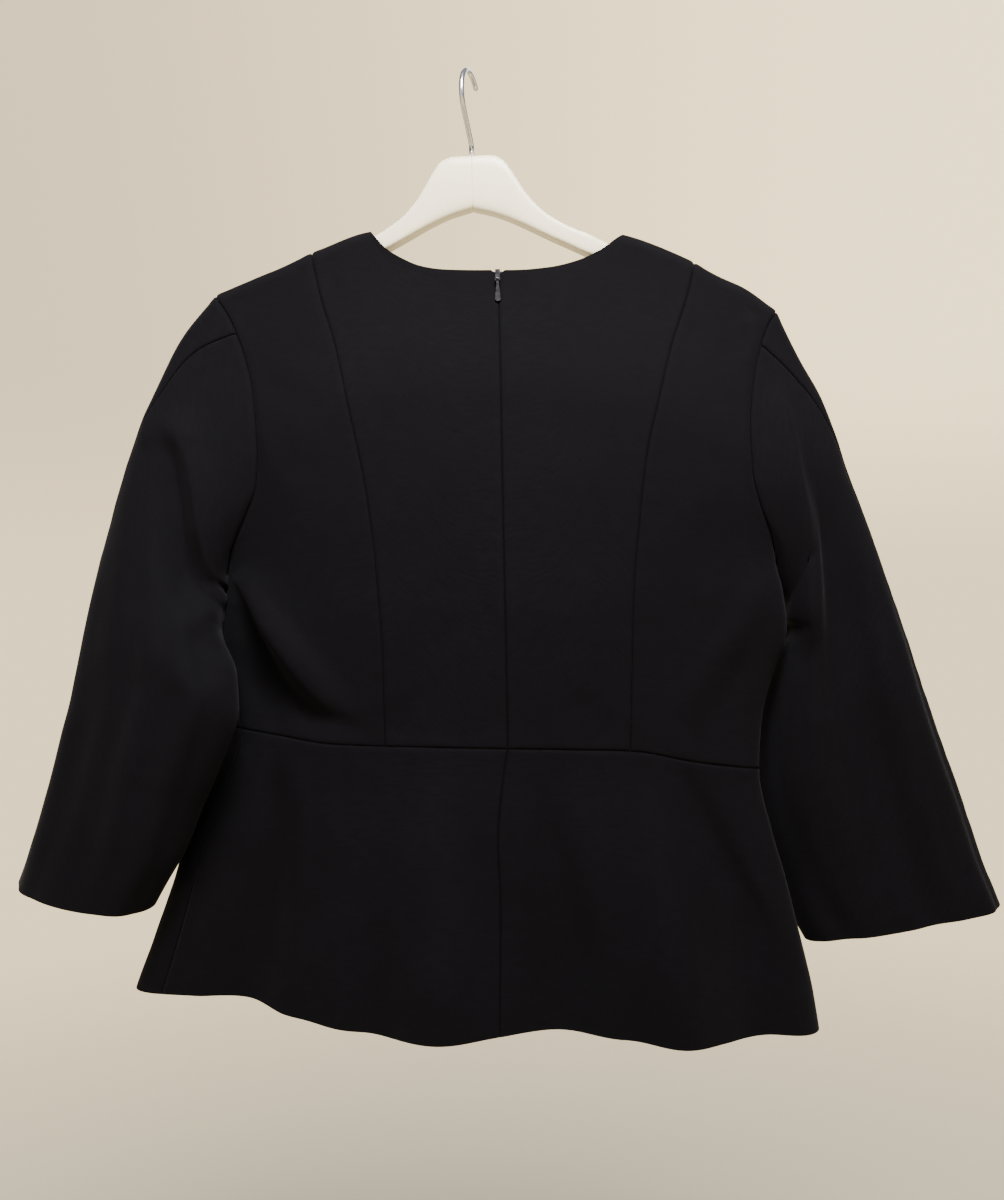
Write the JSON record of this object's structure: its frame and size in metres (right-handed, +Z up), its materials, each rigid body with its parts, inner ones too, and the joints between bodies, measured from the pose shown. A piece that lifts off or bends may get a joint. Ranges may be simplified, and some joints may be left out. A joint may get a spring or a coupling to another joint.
{
  "type": "flared-sleeve blouse on a wooden hanger",
  "caption": "Fitted blouse with princess seams, a flared peplum and flared sleeves, hanging on a painted wooden hanger with a wire hook.",
  "frame": {"origin": "the inside top of the hanger's hook, where it hangs on a rail", "axes": "+X to the right seen from behind the garment, +Y from the garment's back to its front, +Z up"},
  "size_m": [0.7471, 0.1364, 0.735],
  "materials": {
    "cloth": "matte",
    "zip_tape": "matte",
    "painted_wood": "satin",
    "steel_wire": "polished",
    "dark_metal": "satin"
  },
  "bodies": {
    "garment_on_hanger": {"back_centre_left": "cloth", "back_centre_right": "cloth", "back_side_left": "cloth", "back_side_right": "cloth", "front_bodice": "cloth", "peplum_back_left": "cloth", "peplum_back_right": "cloth", "peplum_front": "cloth", "sleeve_top_left": "cloth", "sleeve_top_right": "cloth", "sleeve_under_left": "cloth", "sleeve_under_right": "cloth", "zip_tape_left": "zip_tape", "zip_tape_right": "zip_tape", "hanger": "painted_wood", "hook": "steel_wire", "zip_slider": "dark_metal"},
    "pull_tab": {"pull_tab": "dark_metal"}
  },
  "joints": [
    {"name": "pull_tab_hinge", "type": "hinge", "parent": "garment_on_hanger", "child": "pull_tab", "pos_m": [0.019, -0.01739, -0.16219], "axis": [-1, 0, 0], "range_deg": [0, 150]}
  ]
}
